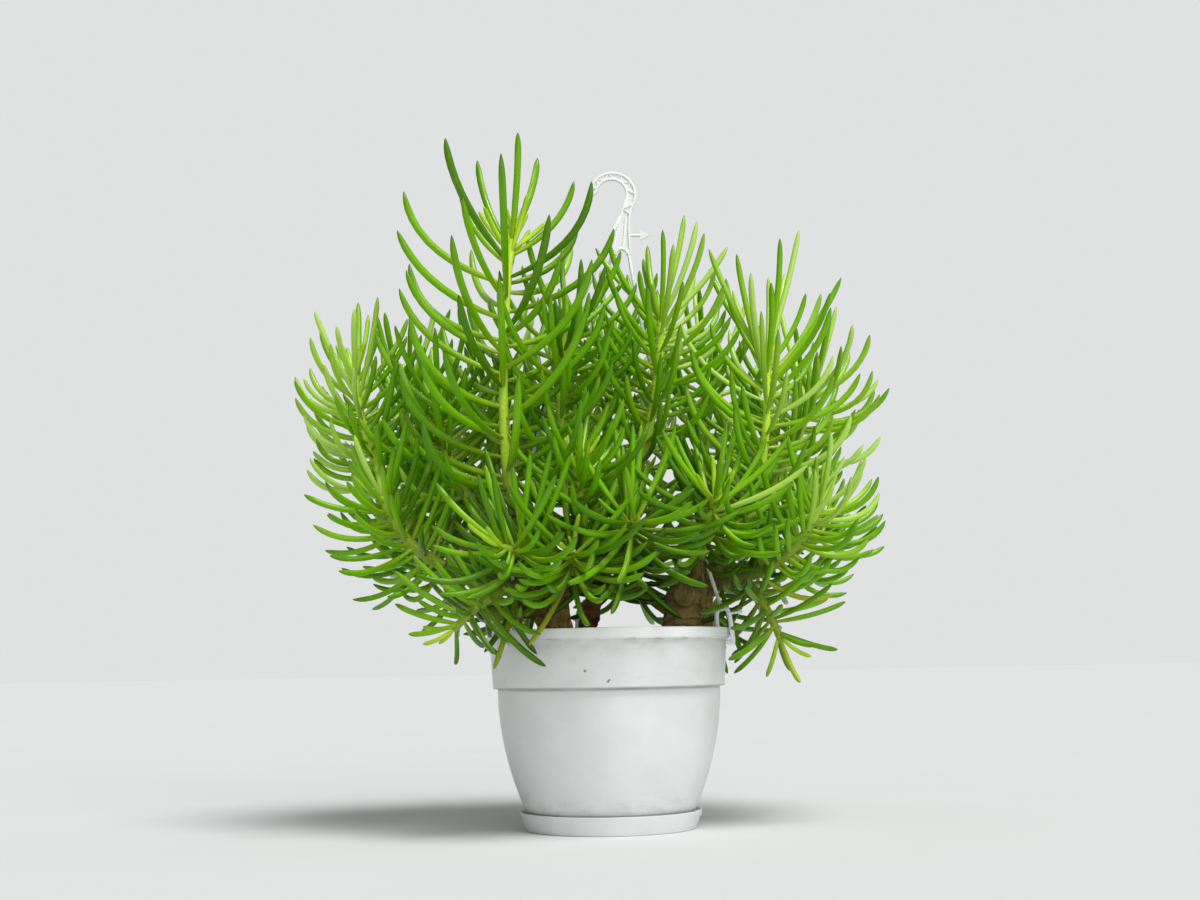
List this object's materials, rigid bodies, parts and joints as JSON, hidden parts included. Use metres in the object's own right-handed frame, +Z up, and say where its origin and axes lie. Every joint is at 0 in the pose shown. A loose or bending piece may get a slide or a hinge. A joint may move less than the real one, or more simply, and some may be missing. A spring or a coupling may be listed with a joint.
{
  "type": "potted succulent shrub in a hanging pot",
  "caption": "Bushy succulent with long upcurved finger leaves on woody trunks, in a white moulded hanging pot with saucer and strap hanger.",
  "frame": {"origin": "middle of the saucer's flat underside, where the part stands", "axes": "+Z up along the pot's axis; -Y towards the viewer of the picture; +X to the right in the picture"},
  "size_m": [0.5809, 0.4322, 0.646],
  "materials": {
    "pot_plastic": "satin",
    "saucer_plastic": "satin",
    "hanger_plastic": "satin",
    "soil": "loose potting soil",
    "bark": "rough ringed bark",
    "leaf": "smooth waxy leaf"
  },
  "bodies": {
    "root": {"pot": "pot_plastic", "saucer": "saucer_plastic", "soil": "soil", "hanger": "hanger_plastic", "trunk_left": "bark", "trunk_middle": "bark", "trunk_right": "bark", "shoot_leader": "leaf", "shoot_right_tall": "leaf", "shoot_left_tall": "leaf", "shoot_middle_tall": "leaf", "shoot_inner": "leaf", "shoot_front_middle": "leaf", "shoot_front_left": "leaf", "shoot_front_right": "leaf", "shoot_front_upright": "leaf", "shoot_front_far_right": "leaf", "shoot_left_inner": "leaf", "shoot_left_back": "leaf", "shoot_right_outer": "leaf", "shoot_right_low": "leaf", "shoot_left_low": "leaf", "shoot_right_drooping": "leaf", "shoot_left_drooping": "leaf", "shoot_centre_back": "leaf", "shoot_right_back": "leaf", "shoot_left_rear": "leaf", "shoot_rear": "leaf", "shoot_rear_right": "leaf", "shoot_rear_left": "leaf", "shoot_rear_low": "leaf", "shoot_right_rear_low": "leaf", "shoot_left_rear_low": "leaf", "shoot_rear_left_drooping": "leaf", "shoot_rear_right_drooping": "leaf"}
  },
  "joints": []
}
